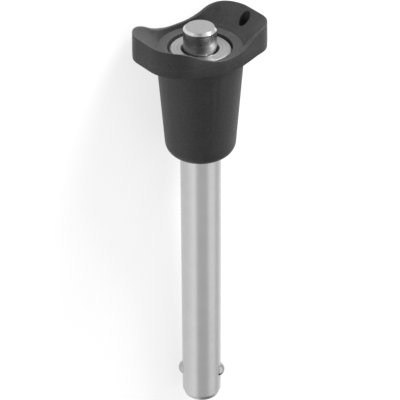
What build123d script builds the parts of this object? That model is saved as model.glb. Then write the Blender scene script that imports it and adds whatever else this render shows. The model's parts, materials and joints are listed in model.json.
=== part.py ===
from build123d import *
import os
from math import asin, atan2, cos, degrees, hypot, radians, sin, sqrt, tan

os.makedirs("parts", exist_ok=True)

# Ball lock pin, lying as it comes to rest: on one flat side of its head and on the end of
# its shank. Sizes are in millimetres. Heights run along the pin's axis, from the seat at
# the lower end of the grip, positive towards the push button.

# Shank
shank_radius = 5.0
tip_height = -73.5
tip_chamfer_width = 0.55
tip_chamfer_height = 1.45
flange_radius = 7.2
flange_low = 7.0
flange_high = 9.5
spigot_high = 12.0

# Locking balls and their holes
ball_radius = 2.0
ball_to_tip = 7.2
ball_stand_out = 1.05
ball_sink = 1.1
ball_line_turn = -43.6
ball_clearance = 0.03
staking_radius = 2.5
staking_width = 0.4
staking_depth = 0.16

# Push button
button_radius = 4.03
button_stand_out = 5.65
button_chamfer = 0.6
button_travel = 4.0
collar_step = 1.5
collar_thickness = 2.0
socket_depth = 6.0

# Spindle
ball_gap = 0.02
land_length = 2.7
nose_chamfer = 0.4
spindle_clearance = 0.10

# Return spring
wire_radius = 0.4
coil_radius = 3.7
active_turns = 5
closed_turns = 1

# Guide sleeve: its end face is the bright ring round the button
sleeve_radius = 7.39
sleeve_top = 29.15
sleeve_edge_chamfer = 0.4
sleeve_mouth_chamfer = 0.55
lip_thickness = 2.85
button_clearance = 0.09
collar_clearance = 0.10

# Grip hub
hub_low_radius = 8.41
hub_high_radius = 10.35
hub_taper_length = 25.0
hub_rounding = 3.3
seat_lip_radius = 5.25
seat_lip_height = 0.6
fit_clearance = 0.02

# Grip head: half of its outline, from the leading corner of one wing over the flat crown
# to the trailing corner of the other. The other half is the same, turned half round.
wing_reach = 15.4
leading_corner = 7.8
crown_reach = 10.85
crown_leading = 1.1
crown_trailing = 4.0
trailing_corner = 9.2
leading_rounding = 8.6
crown_rounding = 8.0
trailing_rounding = 5.6
parting_height = 30.2
draft_angle = 1.0

# Top and underside of the head, seen along the saddle
wing_top = 34.84
saddle_low = 30.64
saddle_radius = 14.8
wing_crest_radius = 10.5
underside_low = 27.1
underside_high = 28.3
underside_radius = 42.0
underside_crest_radius = 16.0

# Dish round the button: from a level circle up to a rim just inside the head's outline
pocket_floor = 29.5
pocket_radius = 10.15
pocket_rim_width = 0.25
sleeve_relief = 0.4
sleeve_relief_depth = 1.6

# Lanyard hole through one wing
lanyard_radius = 1.4
lanyard_setback = 2.2
lanyard_v = -0.3

# At rest the head lies on the flat of its crown, and the shank on the edge of its tip.
foot_reach = crown_reach - (parting_height - underside_low) * tan(radians(draft_angle))
tip_shoulder = tip_height + tip_chamfer_height
lean = atan2(foot_reach - shank_radius, underside_low - tip_shoulder)

# Local axes of the pin: u along the wings, v across them, heights along the axis.
pin_axis = Axis((0, 0, 0), (cos(lean), 0, sin(lean)))
side_normal = Vector(sin(lean), 0, -cos(lean))
wing_direction = side_normal.rotate(pin_axis, -90)
pin = Plane(origin=(0, 0, 0), x_dir=wing_direction, z_dir=pin_axis.direction)
section = Plane(origin=(0, 0, 0), x_dir=pin.x_dir, z_dir=-pin.y_dir)

# Sizes that follow from a neighbour
ball_height = tip_height + ball_to_tip
ball_out = shank_radius + ball_stand_out - ball_radius
ball_in = ball_out - ball_sink
spindle_radius = ball_out - ball_radius - ball_gap
shank_bore_radius = spindle_radius + spindle_clearance
sleeve_bore_radius = button_radius + button_clearance
collar_radius = button_radius + collar_step
chamber_radius = collar_radius + collar_clearance
spigot_radius = chamber_radius - fit_clearance
collar_high = sleeve_top - lip_thickness
collar_low = collar_high - collar_thickness
button_top = sleeve_top + button_stand_out
spindle_top = collar_low + socket_depth
grip_bore_radius = sleeve_radius + fit_clearance
cutter_reach = 2 * wing_reach


def wave_face(low, high, hollow_radius, crest_radius, limit):
    """Profile between a level line and a hollow that rises to a level crest on each side."""
    rise = high - low
    both_radii = hollow_radius + crest_radius
    crest_u = sqrt(2 * both_radii * rise - rise**2)
    turn = asin(crest_u / both_radii)
    join_u = hollow_radius * sin(turn)
    join_height = low + hollow_radius * (1 - cos(turn))
    with BuildSketch(section) as face:
        with BuildLine():
            ThreePointArc((-join_u, join_height), (0, low), (join_u, join_height))
            for side in (-1, 1):
                TangentArc(
                    (side * join_u, join_height),
                    (side * crest_u, high),
                    tangent=(side * cos(turn), sin(turn)),
                )
                Line((side * crest_u, high), (side * cutter_reach, high))
                Line((side * cutter_reach, high), (side * cutter_reach, limit))
            Line((-cutter_reach, limit), (cutter_reach, limit))
        make_face()
    return face.sketch


def turned_face(*points):
    """Closed profile beside the axis, through (radius, height) points."""
    with BuildSketch(section) as face:
        with BuildLine():
            Polyline(*points, close=True)
        make_face()
    return face.sketch


def head_outline(height, inset=0):
    """Outline of the winged head at a height, moved inward by the inset."""
    with BuildSketch(pin.offset(height)) as outline:
        with BuildLine():
            corners = [
                (wing_reach, leading_corner),
                (crown_leading, crown_reach),
                (-crown_trailing, crown_reach),
                (-wing_reach, trailing_corner),
            ]
            corners += [(-u, -v) for u, v in corners]
            roundings = [leading_rounding, crown_rounding, crown_rounding, trailing_rounding]
            FilletPolyline(*corners, radius=roundings * 2, close=True)
        make_face()
        offset(amount=-inset, kind=Kind.INTERSECTION)
    return outline.sketch


def half_head(amount, taper):
    """Head wall on one side of the mould's parting line, drafted away from it."""
    with BuildPart() as half:
        extrude(head_outline(parting_height), amount=amount)
        walls = half.faces().filter_by(lambda face: abs(face.normal_at().dot(pin.z_dir)) < 0.5)
        draft(walls, pin.offset(parting_height), taper)
    return half.part


# Grip: one plastic moulding, a tapered hub under a winged head
upper_head = half_head(wing_top - parting_height, draft_angle)
lower_head = half_head(underside_low - parting_height, -draft_angle)
with BuildPart() as pocket:
    with BuildSketch(pin.offset(pocket_floor)):
        Circle(pocket_radius)
    add(head_outline(wing_top, pocket_rim_width))
    loft(ruled=True)

hub_top = underside_high
hub_slope = (hub_high_radius - hub_low_radius) / hub_taper_length
with BuildSketch(section) as hub_profile:
    with BuildLine():
        Polyline(
            (0, 0),
            (seat_lip_radius, 0),
            (seat_lip_radius, seat_lip_height),
            (hub_low_radius + hub_slope * seat_lip_height, seat_lip_height),
            (hub_low_radius + hub_slope * hub_top, hub_top),
            (0, hub_top),
            close=True,
        )
    make_face()
    foot_corner = hub_profile.vertices().sort_by_distance((hub_low_radius, seat_lip_height))[0]
    fillet(foot_corner, hub_rounding)

with BuildPart() as grip:
    add(upper_head)
    add(lower_head)
    underside = wave_face(
        underside_low, underside_high, underside_radius, underside_crest_radius, 0
    )
    extrude(underside, amount=cutter_reach, both=True, mode=Mode.SUBTRACT)
    revolve(hub_profile.sketch, axis=pin_axis)
    saddle = wave_face(saddle_low, wing_top, saddle_radius, wing_crest_radius, 2 * wing_top)
    extrude(saddle, amount=cutter_reach, both=True, mode=Mode.SUBTRACT)
    add(pocket.part, mode=Mode.SUBTRACT)
    relief_low = pocket_floor - sleeve_relief_depth
    bore = turned_face(
        (0, 0),
        (shank_radius + fit_clearance, 0),
        (shank_radius + fit_clearance, flange_low),
        (grip_bore_radius, flange_low),
        (grip_bore_radius, relief_low),
        (grip_bore_radius + sleeve_relief, relief_low),
        (grip_bore_radius + sleeve_relief, pocket_floor),
        (0, pocket_floor),
    )
    revolve(bore, axis=pin_axis, mode=Mode.SUBTRACT)
    with BuildSketch(pin.offset(underside_low)):
        with Locations((wing_reach - lanyard_setback, lanyard_v)):
            Circle(lanyard_radius)
    extrude(amount=wing_top - underside_low, mode=Mode.SUBTRACT)
grip.part.label = "grip"

# Guide sleeve: pressed over the shank's spigot, its lip keeps the button's collar in
with BuildPart() as guide_sleeve:
    sleeve = turned_face(
        (chamber_radius, flange_high),
        (sleeve_radius, flange_high),
        (sleeve_radius, sleeve_top - sleeve_edge_chamfer),
        (sleeve_radius - sleeve_edge_chamfer, sleeve_top),
        (sleeve_bore_radius + sleeve_mouth_chamfer, sleeve_top),
        (sleeve_bore_radius, sleeve_top - sleeve_mouth_chamfer),
        (sleeve_bore_radius, collar_high),
        (chamber_radius, collar_high),
    )
    revolve(sleeve, axis=pin_axis)
guide_sleeve.part.label = "guide_sleeve"

# Shank: a hollow turned pin, its flange seated in the grip. Each ball hole is closed in
# at its mouth by a ring stake, so that the ball can't fall out.
ball_level = pin.offset(ball_height).origin
ball_line = wing_direction.rotate(pin_axis, ball_line_turn)
ball_directions = {"right": ball_line, "left": -ball_line}
with BuildPart() as shank:
    turned_pin = turned_face(
        (shank_bore_radius, tip_height),
        (shank_radius - tip_chamfer_width, tip_height),
        (shank_radius, tip_shoulder),
        (shank_radius, flange_low),
        (flange_radius, flange_low),
        (flange_radius, flange_high),
        (spigot_radius, flange_high),
        (spigot_radius, spigot_high),
        (shank_bore_radius, spigot_high),
    )
    revolve(turned_pin, axis=pin_axis)
    for outward in ball_directions.values():
        hole = Plane(origin=ball_level, x_dir=pin.z_dir, z_dir=outward)
        with BuildSketch(hole):
            Circle(ball_radius + ball_clearance)
        extrude(amount=ball_out, mode=Mode.SUBTRACT)
        with Locations(ball_level + outward * ball_out):
            Sphere(ball_radius + ball_clearance, mode=Mode.SUBTRACT)
        with BuildSketch(hole.offset(shank_radius - staking_depth)):
            Circle(staking_radius + staking_width / 2)
            Circle(staking_radius - staking_width / 2, mode=Mode.SUBTRACT)
        extrude(amount=ball_radius, mode=Mode.SUBTRACT)
shank.part.label = "shank"

# Push button: its collar runs in the sleeve's chamber, and a blind socket takes the spindle
with BuildPart() as push_button:
    button = turned_face(
        (0, button_top),
        (button_radius - button_chamfer, button_top),
        (button_radius, button_top - button_chamfer),
        (button_radius, collar_high),
        (collar_radius, collar_high),
        (collar_radius, collar_low),
        (spindle_radius + fit_clearance, collar_low),
        (spindle_radius + fit_clearance, spindle_top),
        (0, spindle_top),
    )
    revolve(button, axis=pin_axis)
push_button.part.label = "push_button"

# Spindle: the land holds the balls out. Pressed, the cone above it lets them roll inward
# into the round groove, by ball_sink over the button's travel.
cone_slope = ball_sink / button_travel
groove_radius = (ball_radius + ball_gap) * hypot(1, cone_slope)
cone_high = ball_height + button_travel
neck_radius = ball_in - groove_radius
cone_low = cone_high - (spindle_radius - neck_radius) / cone_slope
groove_angle = degrees(asin(sqrt(groove_radius**2 - (ball_in - spindle_radius) ** 2) / groove_radius))
spindle_nose = ball_height - land_length
with BuildPart() as spindle:
    with BuildSketch(section):
        with BuildLine():
            Polyline(
                (0, spindle_nose),
                (spindle_radius - nose_chamfer, spindle_nose),
                (spindle_radius, spindle_nose + nose_chamfer),
                (spindle_radius, cone_low),
                (neck_radius, cone_high),
            )
            groove = CenterArc((ball_in, cone_high), groove_radius, 180, -groove_angle)
            Polyline(groove @ 1, (spindle_radius, spindle_top), (0, spindle_top), (0, spindle_nose))
        make_face()
    revolve(axis=pin_axis)
spindle.part.label = "spindle"

# Return spring: closed and ground ends, from the shank's spigot to the button's collar
wire_thickness = 2 * wire_radius
closed_length = closed_turns * wire_thickness
active_length = collar_low - spigot_high - 2 * closed_length
coil_stages = [
    (0, wire_thickness, closed_length),
    (closed_length, active_length / active_turns, active_length),
    (closed_length + active_length, wire_thickness, closed_length),
]
with BuildPart() as return_spring:
    with BuildLine() as coil:
        for start, pitch, length in coil_stages:
            foot = pin.offset(spigot_high + start).origin
            Helix(pitch, length, coil_radius, center=foot, direction=pin.z_dir)
    with BuildSketch(Plane(origin=coil.line @ 0, x_dir=pin.x_dir, z_dir=coil.line % 0)):
        Circle(wire_radius)
    sweep(path=coil.line, is_frenet=True)
    with BuildSketch(pin.offset(spigot_high)):
        Circle(coil_radius + wire_thickness)
    extrude(amount=collar_low - spigot_high, mode=Mode.INTERSECT)
return_spring.part.label = "return_spring"

# Locking balls, held out against the staked mouths of their holes
for side, outward in ball_directions.items():
    with BuildPart() as locking_ball:
        with Locations(ball_level + outward * ball_out):
            Sphere(ball_radius)
    locking_ball.part.label = f"locking_ball_{side}"
    export_step(locking_ball.part, f"parts/{locking_ball.part.label}.step")

for piece in (grip, guide_sleeve, shank, push_button, spindle, return_spring):
    export_step(piece.part, f"parts/{piece.part.label}.step")
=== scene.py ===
import bpy
import json
from math import cos, radians, sin
from mathutils import Matrix, Vector


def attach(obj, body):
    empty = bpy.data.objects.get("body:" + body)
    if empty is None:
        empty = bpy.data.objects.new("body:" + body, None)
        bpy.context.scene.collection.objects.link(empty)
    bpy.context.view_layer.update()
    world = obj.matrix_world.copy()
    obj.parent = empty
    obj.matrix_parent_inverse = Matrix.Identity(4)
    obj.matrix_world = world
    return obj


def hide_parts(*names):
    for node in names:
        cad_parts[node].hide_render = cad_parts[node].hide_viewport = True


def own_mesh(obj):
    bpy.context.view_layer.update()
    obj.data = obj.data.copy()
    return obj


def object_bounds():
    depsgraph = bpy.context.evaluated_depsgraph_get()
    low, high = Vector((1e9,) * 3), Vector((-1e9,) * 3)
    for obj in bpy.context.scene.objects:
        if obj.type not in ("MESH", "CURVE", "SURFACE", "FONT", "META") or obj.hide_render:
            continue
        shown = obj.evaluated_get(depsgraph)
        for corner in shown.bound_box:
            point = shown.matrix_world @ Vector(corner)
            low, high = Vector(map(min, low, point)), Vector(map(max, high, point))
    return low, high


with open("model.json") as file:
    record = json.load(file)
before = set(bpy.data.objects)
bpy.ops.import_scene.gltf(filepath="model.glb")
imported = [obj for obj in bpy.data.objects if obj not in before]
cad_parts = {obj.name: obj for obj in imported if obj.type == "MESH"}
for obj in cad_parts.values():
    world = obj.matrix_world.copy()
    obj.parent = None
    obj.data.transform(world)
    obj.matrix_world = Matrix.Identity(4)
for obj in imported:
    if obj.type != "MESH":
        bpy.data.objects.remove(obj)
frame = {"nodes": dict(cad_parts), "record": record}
cad_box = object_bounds()


# Grip: one winged moulding of black glass filled nylon, pressed over the shank's flange.
# The mould is finely etched, which leaves a dull grain with slightly cloudy patches, and
# its halves meet in a thin line round the head, which is painted pale as a painted highlight.
parts = frame["nodes"]
mounts = {mount["name"]: mount for mount in frame["record"]["mounts"]}

# The pin's long axis, from the seat at the lower end of the grip to the push button.
pin_axis = -Vector(mounts["shank"]["axis"])


class Field:
    """A number that varies over a surface. Arithmetic on it adds Math nodes."""

    def __init__(self, nodes, socket):
        self.nodes = nodes
        self.socket = socket

    def math(self, operation, first, second):
        inputs = {0: first, 1: second}
        return self.nodes.node("ShaderNodeMath", {"operation": operation}, inputs)

    def __add__(self, other):
        return self.math("ADD", self, other)

    def __sub__(self, other):
        return self.math("SUBTRACT", self, other)

    def __rsub__(self, other):
        return self.math("SUBTRACT", other, self)

    def __mul__(self, other):
        return self.math("MULTIPLY", self, other)

    def __gt__(self, other):
        return self.math("GREATER_THAN", self, other)

    def __lt__(self, other):
        return self.math("LESS_THAN", self, other)

    __radd__ = __add__
    __rmul__ = __mul__


class Nodes:
    """The nodes of one material, or of the room's light."""

    def __init__(self, tree):
        self.tree = tree

    def node(self, kind, settings, inputs, output=0):
        """Adds a node with its settings, and the values or links of its sockets."""
        made = self.tree.nodes.new(kind)
        for name, value in settings.items():
            setattr(made, name, value)
        for name, value in inputs.items():
            self.feed(made.inputs[name], value)
        return Field(self, made.outputs[output])

    def feed(self, socket, value):
        """Links a field to a socket, or sets the socket's own value."""
        if isinstance(value, Field):
            self.tree.links.new(value.socket, socket)
        else:
            socket.default_value = value

    def along(self, place, direction):
        """How far a place, or another direction, reaches along a direction."""
        inputs = {0: place, 1: direction}
        return self.node("ShaderNodeVectorMath", {"operation": "DOT_PRODUCT"}, inputs, "Value")

    def from_pin(self, place):
        """How far a place is from the pin's axis."""
        inputs = {0: place, 1: pin_axis}
        arm = self.node("ShaderNodeVectorMath", {"operation": "CROSS_PRODUCT"}, inputs)
        return self.node("ShaderNodeVectorMath", {"operation": "LENGTH"}, {0: arm}, "Value")

    def ramp(self, value, start, end, low=0.0, high=1.0):
        """Straight ramp from low to high while the value goes from start to end."""
        inputs = {"Value": value, "From Min": start, "From Max": end, "To Min": low, "To Max": high}
        return self.node("ShaderNodeMapRange", {}, inputs)


class Finish(Nodes):
    """One material: what it reads of the surface, and what it shows there."""

    def __init__(self, name, **constants):
        self.material = bpy.data.materials.new(name)
        self.material.use_nodes = True
        super().__init__(self.material.node_tree)
        self.shader = self.tree.nodes["Principled BSDF"]
        self.show(**constants)
        self.place = self.node("ShaderNodeTexCoord", {}, {}, "Object")
        self.height = self.along(self.place, pin_axis)
        self.radius = self.from_pin(self.place)

    def show(self, **inputs):
        """Sets sockets of the shader by name, with _ for a space."""
        for words, value in inputs.items():
            self.feed(self.shader.inputs[words.replace("_", " ")], value)

    def patches(self, per_metre, detail):
        """Cloudy pattern between 0 and 1, with this many patches to a metre."""
        inputs = {"Vector": self.place, "Scale": per_metre, "Detail": detail}
        return self.node("ShaderNodeTexNoise", {}, inputs, "Fac")

    def marks(self, distance, per_metre):
        """Fine tool marks between 0 and 1, this many to a metre of a height or a radius."""
        inputs = {"W": distance, "Scale": per_metre, "Detail": 3.0}
        return self.node("ShaderNodeTexNoise", {"noise_dimensions": "1D"}, inputs, "Fac")

    def grey(self, tone, dark, light):
        """Neutral grey from a dark to a light one, by a tone between 0 and 1."""
        # A Mix node has its colours in sockets 6 and 7, and gives them out of socket 2.
        inputs = {0: tone, 6: (dark, dark, dark, 1), 7: (light, light, light, 1)}
        return self.node("ShaderNodeMix", {"data_type": "RGBA"}, inputs, 2)

    def relief(self, height, depth, strength=1.0):
        """Fine relief that follows a height between 0 and 1, this deep in metres."""
        inputs = {"Strength": strength, "Distance": depth, "Height": height}
        return self.node("ShaderNodeBump", {}, inputs)


def merged_copy(name, node, flat_angle=0.0):
    """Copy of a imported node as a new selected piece, with its loose triangles joined."""
    bpy.ops.object.select_all(action="DESELECT")
    piece = bpy.data.objects.new(name, parts[node].data.copy())
    bpy.context.scene.collection.objects.link(piece)
    piece.select_set(True)
    bpy.context.view_layer.objects.active = piece
    bpy.ops.object.mode_set(mode="EDIT")
    bpy.ops.mesh.select_all(action="SELECT")
    bpy.ops.mesh.remove_doubles(threshold=0.000002)
    if flat_angle:
        bpy.ops.mesh.dissolve_limited(angle_limit=flat_angle)
    bpy.ops.mesh.normals_make_consistent(inside=False)
    bpy.ops.object.mode_set(mode="OBJECT")
    return piece


def cover(piece, finish):
    """Smooths a new piece up to its sharp edges and gives it its finish."""
    bpy.ops.object.shade_smooth_by_angle(angle=radians(35))
    piece.data.materials.clear()
    piece.data.materials.append(finish.material)


edge_rounding = 0.00015
parting_height = 0.0302
parting_half_width = 0.00007
grip_wall_radius = 0.0105
grains_per_metre = 4200
grain_depth = 0.000045
clouds_per_metre = 420
nylon = Finish("black_nylon", Specular_IOR_Level=0.36)
grain = nylon.patches(grains_per_metre, detail=3)
clouds = nylon.patches(clouds_per_metre, detail=3)
# The parting line is painted paler than the nylon round it: a painted highlight.
parting_line_highlight = (
    (nylon.height > parting_height - parting_half_width)
    * (nylon.height < parting_height + parting_half_width)
    * (nylon.radius > grip_wall_radius)
)
nylon_grain_and_highlight = clouds * 0.5 + grain * 1.8 - 0.65 + parting_line_highlight * 0.4
nylon.show(
    Base_Color=nylon.grey(nylon_grain_and_highlight, dark=0.008, light=0.042),
    Roughness=0.42 + clouds * 0.16,
    Normal=nylon.relief(grain, grain_depth),
)
moulding = merged_copy("moulded_grip", "grip", flat_angle=radians(0.3))
edges = moulding.modifiers.new("edge_rounding", "BEVEL")
edges.width = edge_rounding
edges.segments = 3
edges.limit_method = "ANGLE"
edges.angle_limit = radians(28)
bpy.ops.object.modifier_apply(modifier=edges.name)
cover(moulding, nylon)
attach(moulding, "pin_body")
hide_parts("grip")


# Guide sleeve: a steel ring pressed over the shank's spigot, which guides the button. Its
# end face is turned, and shows as a bright ring with fine concentric marks; the chamfers of
# its mouth and its outer edge are painted darker, as painted shade.
ring_mouth_radius = 0.0045
ring_edge_radius = 0.00699
ring_marks_per_metre = 4200
ring_mark_depth = 0.000008
ring_steel = Finish("turned_ring_steel", Metallic=1.0)
ring_marks = ring_steel.marks(ring_steel.radius, ring_marks_per_metre)
# Painted shade: the mouth's chamfer is painted dark for the shadowed gap round the button, and the
# outer chamfer is painted darker too.
mouth_shade_mask = ring_steel.radius < ring_mouth_radius
edge_shade_mask = ring_steel.radius > ring_edge_radius
ring_marks_and_shade = ring_marks * (1 - mouth_shade_mask - edge_shade_mask * 0.6)
ring_steel.show(
    Base_Color=ring_steel.grey(ring_marks_and_shade, dark=0.10, light=0.60),
    Roughness=0.28 + ring_marks * 0.16 + edge_shade_mask * 0.25,
    Normal=ring_steel.relief(ring_marks, ring_mark_depth),
)


def dress(node, finish):
    """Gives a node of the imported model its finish."""
    for slot in parts[node].material_slots:
        slot.material = finish.material


dress("guide_sleeve", ring_steel)


# Shank: a hollow hardened steel pin, turned and then ground to size. The grinding leaves
# very fine marks round it and a soft satin sheen. The chamfer at its tip is left rougher.
tip_chamfer_height = -0.07205
grinding_per_metre = 30000
grinding_depth = 0.000009
clouding_per_metre = 260
ground_steel = Finish("ground_shank_steel", Metallic=1.0)
grinding = ground_steel.marks(ground_steel.height, grinding_per_metre)
cloudy = ground_steel.patches(clouding_per_metre, detail=3)
chamfer_mask = ground_steel.height < tip_chamfer_height
shank_tone = grinding * 0.6 + cloudy * 0.4
ground_steel.show(
    Base_Color=ground_steel.grey(shank_tone, dark=0.48, light=0.62),
    Roughness=0.28 + cloudy * 0.04 + chamfer_mask * 0.1,
    Normal=ground_steel.relief(grinding, grinding_depth),
)
dress("shank", ground_steel)


# Push button: a stainless steel plunger head. Its chamfer is polished, its side is ground
# round, with marks that fade out towards the chamfer, and its end face is turned to a
# satin finish. The chamfer is painted lighter than the side and the face, as a painted highlight.
button_top = 0.0348
button_chamfer = 0.0006
face_margin = 0.00004
side_top = button_top - button_chamfer
side_marks_none = side_top - 0.0001
side_marks_full = side_top - 0.0005
face_marks_per_metre = 3800
side_marks_per_metre = 30000
side_mark_depth = 0.000014
button_steel = Finish("turned_button_steel", Metallic=1.0)
face_mask = button_steel.height > button_top - face_margin
side_fade_and_shade = button_steel.ramp(button_steel.height, side_marks_none, side_marks_full)
face_marks = button_steel.marks(button_steel.radius, face_marks_per_metre)
side_marks = button_steel.marks(button_steel.height, side_marks_per_metre) - 0.5
# Painted light: the chamfer is painted lightest, as a painted highlight, and the side and the face
# darker, as painted shade; the face's turning marks vary it.
button_marks_and_highlight = face_marks * face_mask * 0.5 + (1 - face_mask) * 0.9 - side_fade_and_shade * 0.4
button_steel.show(
    Base_Color=button_steel.grey(button_marks_and_highlight, dark=0.24, light=0.64),
    Roughness=0.17 + face_mask * 0.17,
    Normal=button_steel.relief(side_marks * side_fade_and_shade, side_mark_depth),
)
dress("push_button", button_steel)


# Spindle: a turned steel rod in the shank's bore, pressed into the button. Only its nose
# shows, at the open tip.
turning_per_metre = 5000
turning_depth = 0.00002
spindle_steel = Finish("turned_spindle_steel", Metallic=1.0)
turned_along = spindle_steel.height + spindle_steel.radius
turning = spindle_steel.marks(turned_along, turning_per_metre)
spindle_steel.show(
    Base_Color=spindle_steel.grey(turning, dark=0.40, light=0.58),
    Roughness=0.28 + turning * 0.14,
    Normal=spindle_steel.relief(turning, turning_depth, strength=0.5),
)
dress("spindle", spindle_steel)


# Locking balls: hardened chrome steel bearing balls, lapped to a mirror finish. The staked
# mouths of the shank's two ball holes keep them in.
haze_per_metre = 900
ball_steel = Finish("lapped_ball_steel", Metallic=1.0)
haze = ball_steel.patches(haze_per_metre, detail=2)
ball_steel.show(
    Base_Color=ball_steel.grey(haze, dark=0.42, light=0.52),
    Roughness=0.04 + haze * 0.05,
)
dress("locking_ball_left", ball_steel)
dress("locking_ball_right", ball_steel)


# Return spring: hard drawn wire coiled on a mandrel, with closed ends ground flat. It sits
# on the shank's spigot inside the sleeve, and the button's collar shortens it.
drawing_per_metre = 2600
drawing_depth = 0.00002
wire_steel = Finish("drawn_spring_wire", Metallic=1.0)
drawing = wire_steel.patches(drawing_per_metre, detail=2)
wire_steel.show(
    Base_Color=wire_steel.grey(drawing, dark=0.34, light=0.48),
    Roughness=0.26 + drawing * 0.14,
    Normal=wire_steel.relief(drawing, drawing_depth, strength=0.3),
)
coil = merged_copy("coil_spring", "return_spring")
cover(coil, wire_steel)
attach(coil, "pin_body")
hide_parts("return_spring")
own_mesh(coil)


# Floor: a plain pale sheet that the pin lies on, on the crown of its head and its tip. It
# glows, so that it looks white all round.
floor_size = 4.0
floor_height = cad_box[0][2]
fibres_per_metre = 60
bpy.ops.object.select_all(action="DESELECT")
bpy.ops.mesh.primitive_grid_add(x_subdivisions=8, y_subdivisions=8, size=floor_size)
floor = bpy.context.object
floor.name = "studio_floor"
bpy.ops.object.mode_set(mode="EDIT")
bpy.ops.mesh.select_all(action="SELECT")
bpy.ops.transform.translate(value=(0, 0, floor_height))
bpy.ops.object.mode_set(mode="OBJECT")
paper = Finish("pale_paper", Emission_Color=(1, 1, 1, 1), Emission_Strength=0.75)
fibres = paper.patches(fibres_per_metre, detail=3)
paper.show(
    Base_Color=paper.grey(fibres, dark=0.22, light=0.24),
    Roughness=0.85 + fibres * 0.1,
)
floor.data.materials.append(paper.material)


# Camera: at the photograph's angle, looking down the pin from beside its button. Its turn
# is measured from the line of the wings, which passes through the lanyard hole. The sensor
# and the focal length are in millimetres.
camera_turn = radians(36.3)
camera_pitch = radians(33.022)
camera_roll = radians(-0.298)
camera_distance = 0.51499
aim_right = -0.0002
aim_up = -0.013883
sensor_width = 36
focal_length = 186.71
lanyard_hole = Vector(mounts["lanyard_hole"]["pos_m"])
wing_line = (lanyard_hole - pin_axis * lanyard_hole.dot(pin_axis)).normalized()
across_wings = pin_axis.cross(wing_line)
photo_right = wing_line * cos(camera_turn) - across_wings * sin(camera_turn)
photo_back = wing_line * sin(camera_turn) + across_wings * cos(camera_turn)
looking = photo_back * cos(camera_pitch) - pin_axis * sin(camera_pitch)
upward = photo_right.cross(looking)
image_right = photo_right * cos(camera_roll) + upward * sin(camera_roll)
image_up = upward * cos(camera_roll) - photo_right * sin(camera_roll)
camera_axes = Matrix((image_right, image_up, -looking)).transposed().to_4x4()
camera_place = photo_right * aim_right + pin_axis * aim_up - looking * camera_distance
bpy.ops.object.camera_add()
camera = bpy.context.object
camera.name = "photo_camera"
camera.matrix_world = Matrix.Translation(camera_place) @ camera_axes
camera.data.sensor_width = sensor_width
camera.data.lens = focal_length
camera.data.clip_start = 0.01
camera.data.clip_end = 10
bpy.context.scene.camera = camera
bpy.context.scene.view_settings.view_transform = "Standard"


# Studio light: a soft grey room that is dark behind the camera and beyond the pin's tip, a
# long softbox on each side of the camera, and a stronger light from beyond the button. The
# room fades between two cosines of the angle to the pin's axis, and to the camera.
world = bpy.data.worlds.new("studio_room")
world.use_nodes = True
backdrop = world.node_tree.nodes["Background"]
room = Nodes(world.node_tree)
facing = room.node("ShaderNodeTexCoord", {}, {}, "Generated")
to_button = room.along(facing, pin_axis)
to_camera = room.along(facing, -looking)
past_tip = room.ramp(to_button, start=-0.85, end=-0.65, low=0.04, high=0.74)
past_camera = room.ramp(to_camera, start=0.92, end=0.84, low=0.1, high=1.0)
room.feed(backdrop.inputs["Strength"], past_tip * past_camera)
room.feed(backdrop.inputs["Color"], (1, 1, 1, 1))
bpy.context.scene.world = world


def softbox(name, right, front, up, width, length, power):
    """Area light at a place in the photograph's own directions, with its length along the pin."""
    place = photo_right * right - photo_back * front + pin_axis * up
    outward = place.normalized()
    across = pin_axis.cross(outward).normalized()
    lamp_axes = Matrix((across, outward.cross(across), outward)).transposed().to_4x4()
    bpy.ops.object.light_add(type="AREA")
    lamp = bpy.context.object
    lamp.name = name
    lamp.data.shape = "RECTANGLE"
    lamp.data.size = width
    lamp.data.size_y = length
    lamp.data.energy = power
    lamp.matrix_world = Matrix.Translation(place) @ lamp_axes


softbox("softbox_left", right=-0.50, front=0.62, up=0.0, width=0.40, length=1.7, power=1.1)
softbox("softbox_right", right=0.68, front=0.32, up=0.0, width=0.64, length=1.7, power=1.4)
softbox("key_light", right=0.50, front=-0.12, up=0.88, width=0.40, length=0.40, power=23.0)
